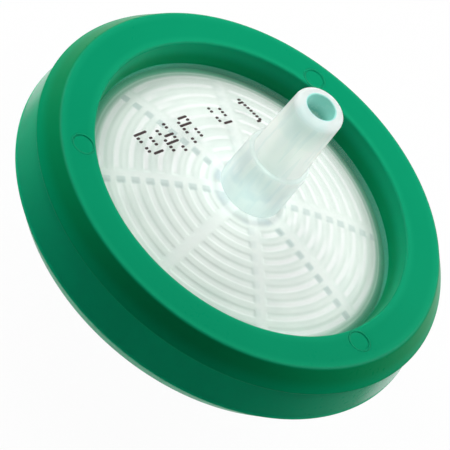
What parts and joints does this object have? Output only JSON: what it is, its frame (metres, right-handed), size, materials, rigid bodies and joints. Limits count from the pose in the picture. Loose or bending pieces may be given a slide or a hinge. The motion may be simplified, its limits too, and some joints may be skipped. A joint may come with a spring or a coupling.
{
  "type": "syringe filter",
  "caption": "Disc-shaped syringe filter: ribbed translucent window in a green overmoulded ring, male luer slip outlet above, female luer-lock inlet below.",
  "frame": {"origin": "centre of the inlet port's rim, at the bottom of the part", "axes": "+Z along the disc's axis from the inlet to the outlet spout, +X along one of the window's radial channels"},
  "size_m": [0.0342, 0.0342, 0.0235],
  "materials": {
    "green_overmould": "satin moulded polypropylene, green",
    "clear_polypropylene": "translucent natural polypropylene",
    "white_membrane": "matt white microporous membrane",
    "inlet_polypropylene": "translucent natural polypropylene"
  },
  "bodies": {
    "root": {"overmould_ring": "green_overmould", "outlet_housing": "clear_polypropylene", "filter_membrane": "white_membrane", "inlet_housing": "inlet_polypropylene"}
  },
  "joints": []
}
